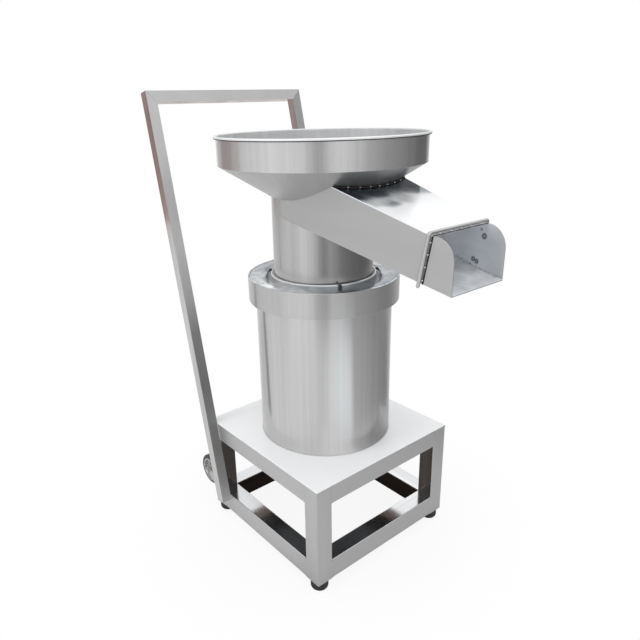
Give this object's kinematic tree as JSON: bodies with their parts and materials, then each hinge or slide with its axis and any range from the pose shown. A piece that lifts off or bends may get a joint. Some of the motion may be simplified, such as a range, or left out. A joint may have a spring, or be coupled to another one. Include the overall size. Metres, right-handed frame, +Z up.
{
  "type": "powder sieving machine",
  "caption": "Stainless vibrating powder sieve on a square push cart: open dish with a lift-out sieve, side chute, barrel with the drive, leaning handle and wheels.",
  "frame": {"origin": "on the floor, on the vertical axis of the barrel, dish and sieve", "axes": "+X towards the outlet chute, -X towards the push handle, +Z up"},
  "size_m": [0.9392, 0.566, 1.265],
  "materials": {
    "stainless_satin": "satin",
    "stainless_bright": "polished",
    "zinc_steel": "zinc plated",
    "bearing_steel": "ground",
    "mesh_steel": "woven",
    "motor_cast": "painted grey",
    "black_steel": "black oxide",
    "rubber_black": "matte",
    "gasket_rubber": "matte",
    "tyre_grey": "matte",
    "hub_plastic": "matte",
    "switch_plastic": "gloss",
    "gland_plastic": "matte"
  },
  "bodies": {
    "cart": {"leg_front_left": "stainless_satin", "leg_front_right": "stainless_satin", "leg_rear_left": "stainless_satin", "leg_rear_right": "stainless_satin", "top_rail_front": "stainless_satin", "top_rail_rear": "stainless_satin", "top_rail_left": "stainless_satin", "top_rail_right": "stainless_satin", "lower_rail_front": "stainless_satin", "lower_rail_rear": "stainless_satin", "lower_rail_left": "stainless_satin", "lower_rail_right": "stainless_satin", "top_plate": "stainless_bright", "foot_front_left": "rubber_black", "foot_front_right": "rubber_black", "foot_rear_left": "rubber_black", "foot_rear_right": "rubber_black", "handle_post_left": "stainless_satin", "handle_post_right": "stainless_satin", "handle_top_bar": "stainless_satin", "wheel_fork_left": "stainless_satin", "wheel_fork_right": "stainless_satin", "axle_left": "zinc_steel", "axle_right": "zinc_steel", "barrel": "stainless_satin", "collar": "stainless_bright", "mount_ring": "stainless_satin", "isolation_mounts": "rubber_black", "guide_studs": "zinc_steel", "guide_nuts": "black_steel", "switch_bezel": "switch_plastic", "cable_gland": "gland_plastic"},
    "sieve_head": {"deck": "stainless_satin", "deck_bolts": "zinc_steel", "motor_housing": "motor_cast", "motor_bolts": "zinc_steel", "weight_covers": "stainless_satin", "bearings": "bearing_steel", "body_shell": "stainless_satin", "discharge_pan": "stainless_bright", "chute_floor": "stainless_bright", "chute_side_left": "stainless_satin", "chute_side_right": "stainless_satin", "chute_roof": "stainless_bright", "chute_hoop": "stainless_bright", "hopper_cone": "stainless_satin", "hopper_band": "stainless_satin", "sieve_seat": "stainless_satin"},
    "rotor": {"motor_shaft": "bearing_steel", "rotor_core": "bearing_steel", "upper_weight": "motor_cast", "lower_weight": "motor_cast"},
    "sieve": {"sieve_gasket": "gasket_rubber", "sieve_frame": "stainless_satin", "sieve_mesh": "mesh_steel"},
    "wheel_left": {"tyre_left": "tyre_grey", "hub_left": "hub_plastic"},
    "wheel_right": {"tyre_right": "tyre_grey", "hub_right": "hub_plastic"},
    "switch_rocker": {"switch_rocker": "switch_plastic"}
  },
  "joints": [
    {"name": "sieve_head_bounce", "type": "slide", "parent": "cart", "child": "sieve_head", "axis": [0, 0, 1], "range_m": [-0.004, 0.004], "stiffness_N_per_m": 60000, "springref_m": 0.0067, "deforming": ["isolation_mounts"]},
    {"name": "rotor_spin", "type": "hinge", "parent": "sieve_head", "child": "rotor", "pos_m": [0, 0, 0.682], "axis": [0, 0, 1], "continuous": true},
    {"name": "sieve_lift", "type": "slide", "parent": "sieve_head", "child": "sieve", "axis": [0, 0, 1], "range_m": [0, 0.25]},
    {"name": "wheel_left_roll", "type": "hinge", "parent": "cart", "child": "wheel_left", "pos_m": [-0.328, 0.211, 0.087], "axis": [0, 1, 0], "continuous": true},
    {"name": "wheel_right_roll", "type": "hinge", "parent": "cart", "child": "wheel_right", "pos_m": [-0.328, -0.211, 0.087], "axis": [0, 1, 0], "continuous": true},
    {"name": "switch_press", "type": "hinge", "parent": "cart", "child": "switch_rocker", "pos_m": [-0.188, 0, 0.425], "axis": [0, -1, 0], "range_deg": [0, 16]}
  ]
}
